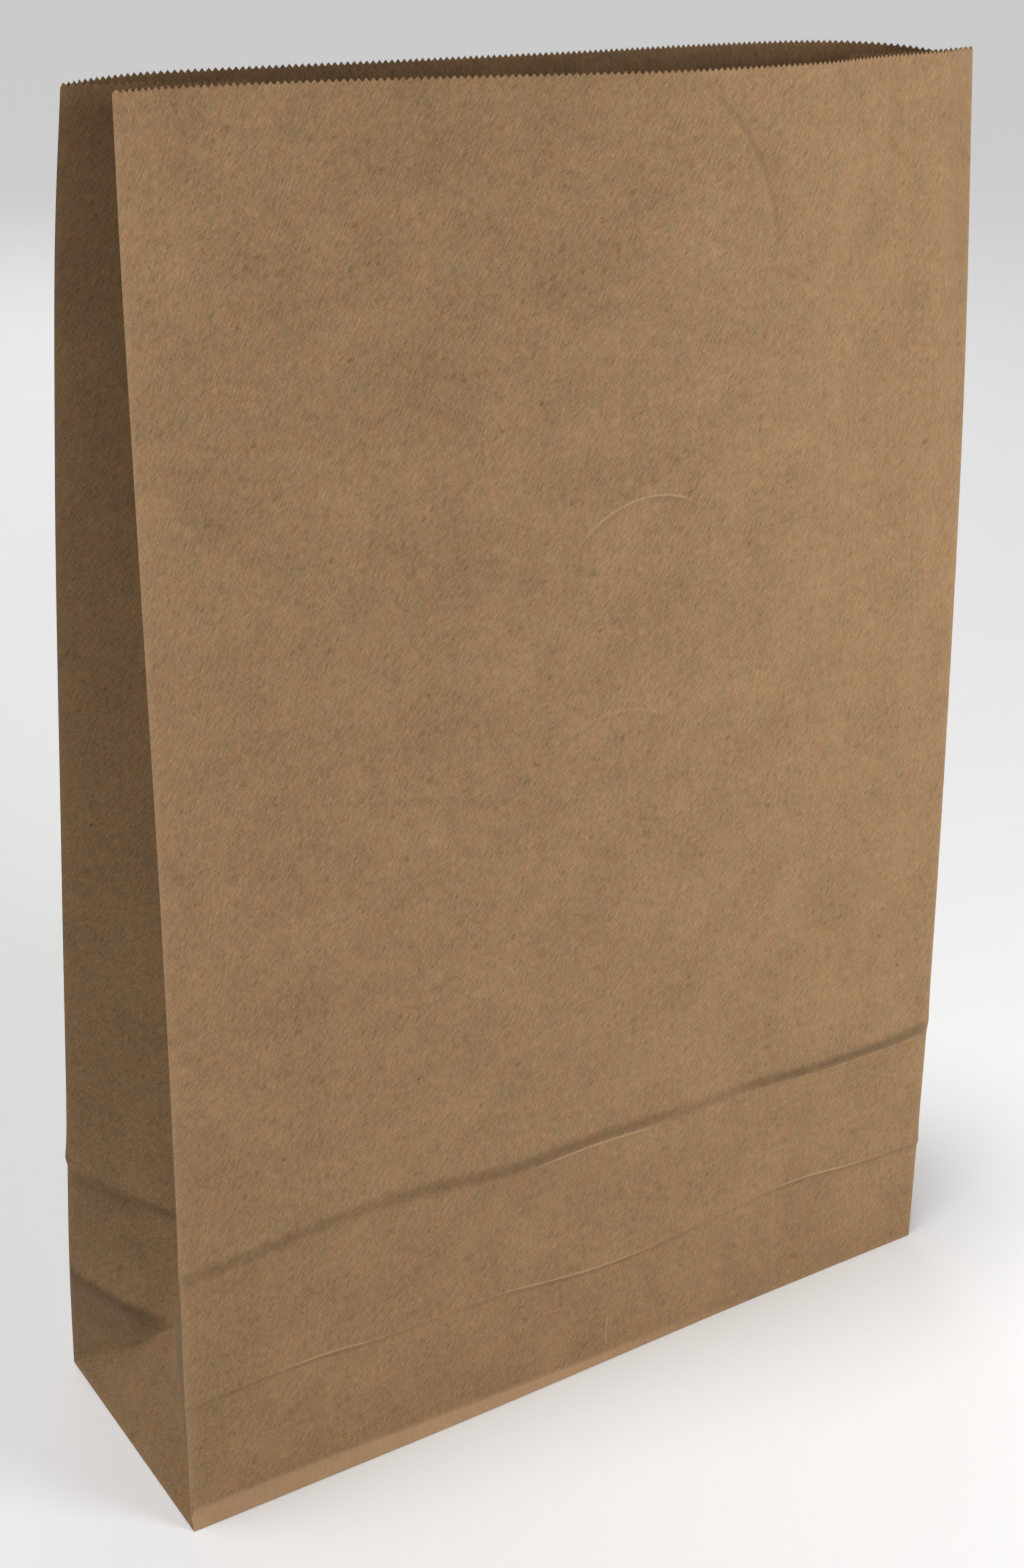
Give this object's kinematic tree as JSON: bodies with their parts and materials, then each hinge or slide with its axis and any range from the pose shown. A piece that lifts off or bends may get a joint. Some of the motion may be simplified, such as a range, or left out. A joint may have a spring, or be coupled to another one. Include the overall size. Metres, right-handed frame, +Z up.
{
  "type": "block bottom paper bag",
  "caption": "Open kraft paper bag with a flat block bottom, inward folded side gussets and a saw-cut mouth.",
  "frame": {"origin": "under the middle of the bag's box, on the surface that it stands on", "axes": "+Z up from the bottom to the mouth, +X along the front panel to the viewer's right, +Y from the front panel to the back panel"},
  "size_m": [0.3038, 0.096, 0.431],
  "materials": {
    "kraft_paper": "unbleached brown kraft, matt and slightly fibrous"
  },
  "bodies": {
    "root": {"paper_bag": "kraft_paper"}
  },
  "joints": []
}
